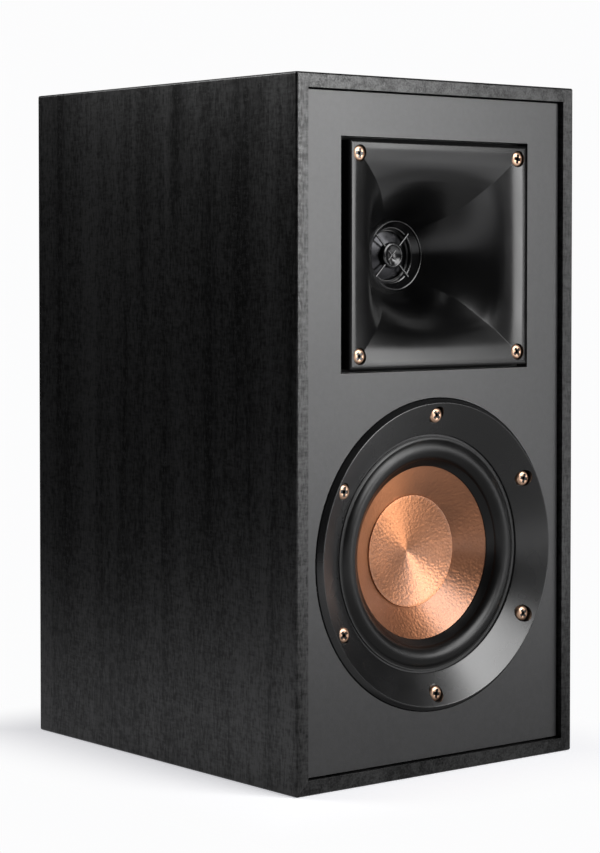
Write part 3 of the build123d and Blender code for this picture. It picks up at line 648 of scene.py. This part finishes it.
def smooth_path(points, steps):
    """Curve through the points, with a few steps between each pair."""
    path = []
    for n in range(len(points) - 1):
        p0, p1 = points[max(n - 1, 0)], points[n]
        p2, p3 = points[n + 1], points[min(n + 2, len(points) - 1)]
        for step in range(steps):
            t = step / steps
            path.append(tuple(
                0.5 * (2 * b + (c - a) * t + (2 * a - 5 * b + 4 * c - d) * t ** 2
                       + (3 * b - a - 3 * c + d) * t ** 3)
                for a, b, c, d in zip(p0, p1, p2, p3)))
    path.append(tuple(points[-1]))
    return path


def bowed(half, corner, middle, steps=40):
    """Points (along, out) of a side that bows out between its corners, gathered towards them."""
    rise = middle - corner
    points = []
    for n in range(-steps, steps):
        share = copysign(1 - (1 - abs(n) / steps) ** GATHERING, n)
        if rise < 1e-6:
            points.append((half * share, middle))
            continue
        radius = (half * half + rise * rise) / (2 * rise)
        turn = share * 2 * atan2(rise, half)
        points.append((radius * sin(turn), middle - radius * (1 - cos(turn))))
    return points


def section(x, y, wide, high):
    """Four bowed sides that meet at (x, y); every section has the same points."""
    side, top = bowed(y, x, wide), bowed(x, y, high)
    return ([(out, along) for along, out in side] + [(-along, out) for along, out in top]
            + [(-out, -along) for along, out in side] + [(along, -out) for along, out in top])


def lofted(name, stations, centre_z):
    """Closed ring of sections, each with its depth after its four sizes."""
    rings, points, faces = [], [], []
    for *sizes, depth in stations:
        outline = section(*sizes)
        rings.append(range(len(points), len(points) + len(outline)))
        points += [place(x, depth, z, centre_z) for x, z in outline]
    count = len(rings[0])
    for ring, following in zip(rings, rings[1:] + rings[:1]):
        for n in range(count):
            m = (n + 1) % count
            faces.append((ring[n], ring[m], following[m], following[n]))
    return new_piece(name, points, faces)


def make_horn():
    """Front plate with a rounded edge, smooth flare, skirt, throat boss and driver flange."""
    wide, high = HORN_HALF

    def plate(inset, depth):
        return (wide - inset, high - inset, wide - inset, high - inset, depth)

    stations = []
    bevel_steps = 6
    for step in range(bevel_steps + 1):
        turn = pi / 2 * step / bevel_steps
        stations.append(plate(HORN_BEVEL * (1 - cos(turn)), HORN_BEVEL * (1 - sin(turn))))
    inner = smooth_path(FLARE, 8)
    stations += [(*sizes, depth) for depth, *sizes in inner]
    stations += [(r * sqrt(0.5), r * sqrt(0.5), r, r, depth) for r, depth in DRIVER_FLANGE]
    first, last = FLARE_BACK
    stations += [(*(size + FLARE_WALL for size in sizes), depth + FLARE_WALL)
                 for depth, *sizes in reversed(inner) if first < depth < last]
    stations += [plate(HORN_SKIRT, HORN_SKIN + 1.0), plate(HORN_SKIRT, HORN_SEAT), plate(0.0, HORN_SEAT)]
    horn = lofted("horn_moulding", stations, HORN_Z)
    spots = box_spots(*HORN_SCREWS)
    cutters = [hole(spot, HEAD_RADIUS + 0.3, 0.0, HORN_SCREW_SEAT, HORN_Z) for spot in spots]
    cutters += [hole(spot, SHANK_RADIUS + SHANK_CLEARANCE, 2.0, HORN_SEAT + 1, HORN_Z) for spot in spots]
    cut(horn, *cutters)
    finish_piece(horn, CABINET, "horn_plastic", "horn")
    screw_group("horn_screws", spots, HORN_SCREW_CROWN, HORN_Z, HORN_SCREW_LENGTH)


# --- Tweeter -----------------------------------------------------------------------------------
DOME_RADIUS = 12.3
DOME_CROWN = 37.8
DOME_RISE = 2.0
DOME_SKIN = 0.3
SPOKE_REACH = 15.2
SPOKE_FRONT = 35.8
ROLL_INNER, ROLL_OUTER = 12.8, 16.6


def spoke(turn):
    """Thin bar across the throat, at an angle."""
    profile = soften([(-0.45, 0.0, 0.2), (0.45, 0.0, 0.2), (0.3, 1.2, 0.1), (-0.3, 1.2, 0.1)], 3)
    points = []
    for end in (-SPOKE_REACH, SPOKE_REACH):
        for x, d in profile:
            across, up = end * cos(turn) - x * sin(turn), end * sin(turn) + x * cos(turn)
            points.append(place(across, SPOKE_FRONT + d, up, HORN_Z))
    count = len(profile)
    faces = [(n, (n + 1) % count, count + (n + 1) % count, count + n) for n in range(count)]
    faces += [tuple(range(count)), tuple(range(count, 2 * count))]
    return new_piece("spoke", points, faces)


def make_tweeter():
    """Throat ring with crossed spokes and their disc, the dome behind it and its suspension."""
    ring = soften([
        (THROAT_RADIUS + 0.1, 33.5), (THROAT_RADIUS - 0.1, 33.35, 0.2), (16.55, 33.55, 0.2),
        (16.5, 34.2, 0.15), (14.0, 36.9, 0.1), (13.5, 37.0, 0.25), (13.1, 37.5, 0.25), (13.3, 38.4),
        (19.9, 38.4), (19.9, 33.5)])
    hub = soften([
        (0, 36.9), (4.7, 35.4, 0.4), (5.4, 35.0, 0.6), (6.6, 35.4, 0.8), (6.6, 37.0, 0.3), (0, 37.2)], 6)
    plug = [turned("ring", ring, HORN_Z), spoke(pi / 4), spoke(-pi / 4)]
    plug.append(turned("hub", hub, HORN_Z, segments=96))
    finish_piece(joined("throat_ring", plug), CABINET, "dark_gloss", "phase_plug")

    ball = (DOME_RADIUS ** 2 + DOME_RISE ** 2) / (2 * DOME_RISE)
    slope = atan2(DOME_RADIUS, ball - DOME_RISE)
    steps = 32
    outline = []
    for radius, turns in ((ball, range(steps + 1)), (ball - DOME_SKIN, range(steps, -1, -1))):
        for n in turns:
            t = slope * n / steps
            outline.append((radius * sin(t), DOME_CROWN + ball - radius * cos(t)))
    dome = turned("dome", outline, HORN_Z)
    finish_piece(dome, TWEETER, "dome_metal", "tweeter_dome")

    roll = arc((ROLL_INNER, 39.8), (14.7, 39.2), (ROLL_OUTER, 39.9)) + [(19.5, 39.9), (19.5, 40.2)]
    roll += arc((ROLL_OUTER, 40.2), (14.7, 39.5), (ROLL_INNER, 40.1)) + [(12.35, 40.1), (12.35, 39.8)]
    suspension = turned("suspension_roll", roll, HORN_Z)
    flexing(suspension, "surround_rubber", "tweeter_suspension")


def flexing(piece, slot, node):
    """A ring on no body, with its material, its placement baked into its mesh and the CAD part it stands
    for hidden.
    """
    finish_piece(piece, None, slot, node)
    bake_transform(piece)


# --- Woofer ------------------------------------------------------------------------------------
RING_RADIUS = 76.5
RING_CREST = 74.3
RING_BORE = 58.65
RING_DIP = 8.0
FLANGE_DEPTH = 9.0
WOOFER_BOLTS = 68.3
WOOFER_BOLT_COUNT = 6
WOOFER_SCREW_LENGTH = 16.5
WOOFER_SCREW_CROWN = 2.8
WOOFER_SCREW_SEAT = 5.2
CONE_EDGE = 42.6
CONE_SLOPE = 0.60
CONE_DEPTH = 13.1
CONE_SKIN = 0.8
RUBBER = 0.6
CAP_EDGE = 27.7
CAP_RIM = 21.5
NECK = 13.0
ROLL_FOOT, ROLL_CREST, ROLL_END = 46.0, (51.0, 6.4), 55.8
SURROUND_EDGE = 57.6
SPIDER_DEPTH = 33.4
SPIDER_INNER, SPIDER_OUTER, SPIDER_EDGE = 15.0, 37.0, 45.0
SPIDER_FOLDS = 5
SPIDER_WAVE = 0.6


def cone_face(radius):
    """Depth of the cone's front face, which curves a little between the neck and the edge."""
    share = (radius - NECK) / (ROLL_FOOT - NECK)
    return CONE_DEPTH + (CONE_EDGE - radius) * CONE_SLOPE + 0.35 * sin(pi * share)


def make_trim_ring():
    """Sloping ring with a crisp crest, a rounded inner edge and a deep seat for each screw."""
    outline = soften([
        (RING_CREST, 0.0, 0.6), (RING_RADIUS - 0.15, 2.6, 0.6), (RING_RADIUS, 3.4, 0.5),
        (RING_RADIUS, FLANGE_DEPTH), (RING_BORE, FLANGE_DEPTH), (RING_BORE, RING_DIP, 0.5)], 8)
    face_steps = 16
    outline += [(RING_BORE + (RING_CREST - RING_BORE) * n / face_steps, RING_DIP * (1 - n / face_steps))
                for n in range(1, face_steps)]
    ring = turned("trim_ring", outline, WOOFER_Z, segments=288)
    spots = ring_spots(WOOFER_BOLTS, WOOFER_BOLT_COUNT)
    cutters = [hole(spot, HEAD_RADIUS + 0.45, -1.0, WOOFER_SCREW_SEAT, WOOFER_Z) for spot in spots]
    cutters += [hole(spot, SHANK_RADIUS + SHANK_CLEARANCE, 4.5, FLANGE_DEPTH + 1, WOOFER_Z)
                for spot in spots]
    cut(ring, *cutters)
    finish_piece(ring, CABINET, "ring_plastic", "woofer_trim_ring")
    screw_group("woofer_screws", spots, WOOFER_SCREW_CROWN, WOOFER_Z, WOOFER_SCREW_LENGTH)


def make_diaphragm():
    """Cone, dust cap, half-roll surround and corrugated spider."""
    steps = 24
    edge = ROLL_FOOT + 0.5
    radii = [NECK + (edge - NECK) * n / steps for n in range(steps + 1)]
    outline = [(r, cone_face(r)) for r in radii]
    outline += [(r, cone_face(r) + CONE_SKIN) for r in reversed(radii)]
    cone = turned("cone", outline, WOOFER_Z, segments=256)
    finish_piece(cone, WOOFER, "spun_copper", "woofer_cone")

    cap = [(0, 25.3)] + arc((1.2, 25.2), (CAP_EDGE * 0.5, 23.55), (CAP_EDGE - 0.5, CAP_RIM), 20)
    cap += [(CAP_EDGE - 0.1, CAP_RIM + 0.02), (CAP_EDGE, CAP_RIM + 0.25), (CAP_EDGE, CAP_RIM + 0.5),
            (26.5, 22.6), (0, 26.0)]
    dust_cap = turned("dust_cap", cap, WOOFER_Z, segments=256, sharp=50.0)
    finish_piece(dust_cap, WOOFER, "spun_copper", "woofer_dust_cap")
    # The cap keeps the lighter copper; the cone's darker copy of it is painted shade.
    dust_cap.data.materials[0] = MATERIALS["cap_copper"]

    land = FLANGE_DEPTH - RUBBER
    lip = cone_face(ROLL_FOOT) - RUBBER
    roll = [(CONE_EDGE, cone_face(CONE_EDGE)), (CONE_EDGE + 0.05, cone_face(CONE_EDGE) - 0.4),
            (CONE_EDGE + 0.3, cone_face(CONE_EDGE) - RUBBER - 0.15)]
    roll += arc((ROLL_FOOT - 0.1, lip + 0.05), ROLL_CREST, (ROLL_END, land), 32)
    roll += soften([(SURROUND_EDGE - 0.4, land), (SURROUND_EDGE, land - 0.1, 0.2),
                    (SURROUND_EDGE, FLANGE_DEPTH)], 3)
    roll += [(ROLL_END - 0.4, FLANGE_DEPTH)]
    roll += arc((ROLL_END - 0.5, FLANGE_DEPTH), (ROLL_CREST[0], ROLL_CREST[1] + RUBBER),
                (ROLL_FOOT + 0.4, cone_face(ROLL_FOOT + 0.4)), 32)
    surround = turned("surround", roll, WOOFER_Z, segments=256, sharp=60.0)
    flexing(surround, "surround_rubber", "woofer_surround")

    steps = 60
    front = [(NECK, SPIDER_DEPTH)]
    for n in range(steps + 1):
        radius = SPIDER_INNER + (SPIDER_OUTER - SPIDER_INNER) * n / steps
        wave = SPIDER_WAVE * (1 - cos(2 * pi * SPIDER_FOLDS * n / steps))
        front.append((radius, SPIDER_DEPTH - wave))
    front.append((SPIDER_EDGE, SPIDER_DEPTH))
    spider = turned("spider", front + [(r, d + RUBBER) for r, d in reversed(front)], WOOFER_Z, sharp=60.0)
    flexing(spider, "spider_cloth", "woofer_spider")


# --- Rear --------------------------------------------------------------------------------------
PORT_RADIUS = 20.0
PORT_WALL = 2.5
PORT_FLARE = 14.0
PORT_FLANGE = 37.0
PORT_LENGTH = 102.0


def make_port():
    """Port tube with a wide flare outside and a small one inside the cabinet."""
    mouth, bend = PORT_RADIUS + PORT_FLARE, PORT_FLARE * (1 - cos(pi / 4))
    outline = [(PORT_FLANGE - 0.5, 0.3)]
    outline += arc((mouth, 0.3), (PORT_RADIUS + bend, bend + 0.3), (PORT_RADIUS, PORT_FLARE + 0.3), 20)
    outline += arc((PORT_RADIUS, PORT_LENGTH - 10), (PORT_RADIUS + 1.4, PORT_LENGTH - 4.5),
                   (PORT_RADIUS + 6, PORT_LENGTH), 12)
    outline += [(PORT_RADIUS + 8, PORT_LENGTH - 1.5), (PORT_RADIUS + PORT_WALL, PORT_LENGTH - 10),
                (PORT_RADIUS + PORT_WALL, 18), (30.5, 3.0), (PORT_FLANGE, 3.0), (PORT_FLANGE, 0.8)]
    port = turned("bass_port", outline, PORT_Z, facing=REAR, segments=192)
    finish_piece(port, CABINET, "dark_gloss", "port_tube")


# --- Camera, floor and lights ------------------------------------------------------------------
CAMERA_AT = (-0.8024, -0.9862, 0.2483)
CAMERA_YAW, CAMERA_DIP = 39.14, 1.93
CAMERA_LENS, CAMERA_SHIFT = 103.02, -0.0926
BACKGROUND = (0.975, 0.975, 0.98)
WHITE = (1.0, 1.0, 1.0)
TABLE_HALF, TABLE_DROP = 6.0, 0.0002
SHADOW_REACH = (-0.01, 0.07)  # the seen shadow fades between these distances from the cabinet
FOOT_SPOT, FOOT_REACH = (0.08, -0.32, 0.0), (0.15, 0.5)
POOL_SPOT, POOL_REACH = (0.4, -1.8, 0.0), (1.5, 2.8)
FRONT_MIDDLE = (0, RIM_FRONT, HEIGHT / 2)
TOP_LEFT = (-WIDTH / 2, 0, HEIGHT)
# name, target, azimuth, elevation, distance, width, height, radiance
LIGHTS = (
    ("key_strip", FRONT_MIDDLE, 34.5, 9.5, 1.6, 0.40, 0.66, 9.0),
    ("key_box", FRONT_MIDDLE, 15, 30, 1.6, 1.0, 0.9, 8.0),
    ("back_box", TOP_LEFT, -138, 25, 0.7, 0.35, 0.35, 6.0),
)


def make_camera():
    data = bpy.data.cameras.new("camera")
    data.lens = CAMERA_LENS
    data.shift_y = CAMERA_SHIFT
    data.clip_start = 0.05
    camera = bpy.data.objects.new("camera", data)
    camera.location = CAMERA_AT
    camera.rotation_euler = Euler((pi / 2 - radians(CAMERA_DIP), 0.0, -radians(CAMERA_YAW)), "XYZ")
    bpy.context.scene.collection.objects.link(camera)
    bpy.context.scene.camera = camera


def glow(tree, colour, strength):
    made = tree.nodes.new("ShaderNodeEmission")
    made.inputs["Color"].default_value = (*colour, 1)
    made.inputs["Strength"].default_value = strength
    return made.outputs[0]


def blended(tree, factor, first, second):
    made = tree.nodes.new("ShaderNodeMixShader")
    tree.links.new(factor, made.inputs[0])
    tree.links.new(first, made.inputs[1])
    tree.links.new(second, made.inputs[2])
    return made.outputs[0]


def make_floor():
    """White table top: a lit and shadowed disc round the object that fades into plain white."""
    corners = [(sx * TABLE_HALF, sy * TABLE_HALF, 0) for sx, sy in ((-1, -1), (1, -1), (1, 1), (-1, 1))]
    mesh = bpy.data.meshes.new("floor")
    mesh.from_pydata(corners, [], [(0, 1, 2, 3)])
    floor = bpy.data.objects.new("floor", mesh)
    floor.location.z = -TABLE_DROP
    bpy.context.scene.collection.objects.link(floor)
    material = bpy.data.materials.new("floor_white")
    material.use_nodes = True
    tree = material.node_tree
    tree.nodes.remove(tree.nodes["Principled BSDF"])
    diffuse = tree.nodes.new("ShaderNodeBsdfDiffuse")
    diffuse.inputs["Color"].default_value = (0.9, 0.9, 0.9, 1)
    coordinates = tree.nodes.new("ShaderNodeTexCoord").outputs["Object"]

    def distance_from(spot):
        made = tree.nodes.new("ShaderNodeVectorMath")
        made.operation = "DISTANCE"
        made.inputs[1].default_value = spot
        tree.links.new(coordinates, made.inputs[0])
        return made

    foot = distance_from(FOOT_SPOT)
    pool = distance_from(POOL_SPOT)
    beside = tree.nodes.new("ShaderNodeVectorMath")
    beside.operation = "ABSOLUTE"
    tree.links.new(coordinates, beside.inputs[0])
    outside = tree.nodes.new("ShaderNodeVectorMath")
    outside.operation = "SUBTRACT"
    outside.inputs[1].default_value = (WIDTH / 2 * MM, (RIM_REAR - RIM_FRONT) / 2 * MM, 1.0)
    tree.links.new(beside.outputs[0], outside.inputs[0])
    split = tree.nodes.new("ShaderNodeSeparateXYZ")
    tree.links.new(outside.outputs[0], split.inputs[0])
    gap = tree.nodes.new("ShaderNodeMath")
    gap.operation = "MAXIMUM"
    tree.links.new(split.outputs["X"], gap.inputs[0])
    tree.links.new(split.outputs["Y"], gap.inputs[1])

    def fade(distance, reach):
        made = tree.nodes.new("ShaderNodeMapRange")
        made.interpolation_type = "SMOOTHSTEP"
        made.inputs["From Min"].default_value, made.inputs["From Max"].default_value = reach
        tree.links.new(distance.outputs["Value"], made.inputs["Value"])
        return made.outputs["Result"]

    def lit(strength):
        made = tree.nodes.new("ShaderNodeAddShader")
        tree.links.new(diffuse.outputs[0], made.inputs[0])
        tree.links.new(glow(tree, (0.95, 0.95, 1.0), strength), made.inputs[1])
        return made.outputs[0]

    seen = blended(tree, fade(gap, SHADOW_REACH), lit(0.44), glow(tree, BACKGROUND, 1.0))
    bright = blended(tree, fade(foot, FOOT_REACH), glow(tree, WHITE, 0.36), lit(0.38))
    lighting = blended(tree, fade(pool, POOL_REACH), bright, glow(tree, WHITE, 0.04))
    ray = tree.nodes.new("ShaderNodeLightPath")
    surface = blended(tree, ray.outputs["Is Camera Ray"], lighting, seen)
    tree.links.new(surface, tree.nodes["Material Output"].inputs["Surface"])
    mesh.materials.append(material)


def make_world():
    """White to the eye, and a dim studio to everything that it lights."""
    world = bpy.data.worlds.new("studio")
    world.use_nodes = True
    bpy.context.scene.world = world
    tree = world.node_tree
    seen = tree.nodes["Background"]
    seen.inputs["Color"].default_value = (*BACKGROUND, 1)
    lighting = tree.nodes.new("ShaderNodeBackground")
    lighting.inputs["Color"].default_value = (*WHITE, 1)
    lighting.inputs["Strength"].default_value = 0.035
    ray = tree.nodes.new("ShaderNodeLightPath")
    surface = blended(tree, ray.outputs["Is Camera Ray"], lighting.outputs[0], seen.outputs[0])
    tree.links.new(surface, tree.nodes["World Output"].inputs["Surface"])


def make_light(name, target, azimuth, elevation, distance, width, height, radiance):
    """Soft box facing a target in millimetres; azimuth 0 is straight in front, positive to the right."""
    data = bpy.data.lights.new(name, "AREA")
    data.shape = "RECTANGLE"
    data.size, data.size_y = width, height
    data.energy = radiance * pi * width * height
    light = bpy.data.objects.new(name, data)
    a, e = radians(azimuth), radians(elevation)
    away = Vector((sin(a) * cos(e), -cos(a) * cos(e), sin(e)))
    light.location = Vector(target) * MM + away * distance
    light.rotation_euler = away.to_track_quat("Z", "Y").to_euler()
    bpy.context.scene.collection.objects.link(light)


make_camera()
make_floor()
make_world()
for light in LIGHTS:
    make_light(*light)
bpy.context.scene.view_settings.view_transform = "Standard"

make_horn()
make_tweeter()
make_trim_ring()
make_diaphragm()
make_port()
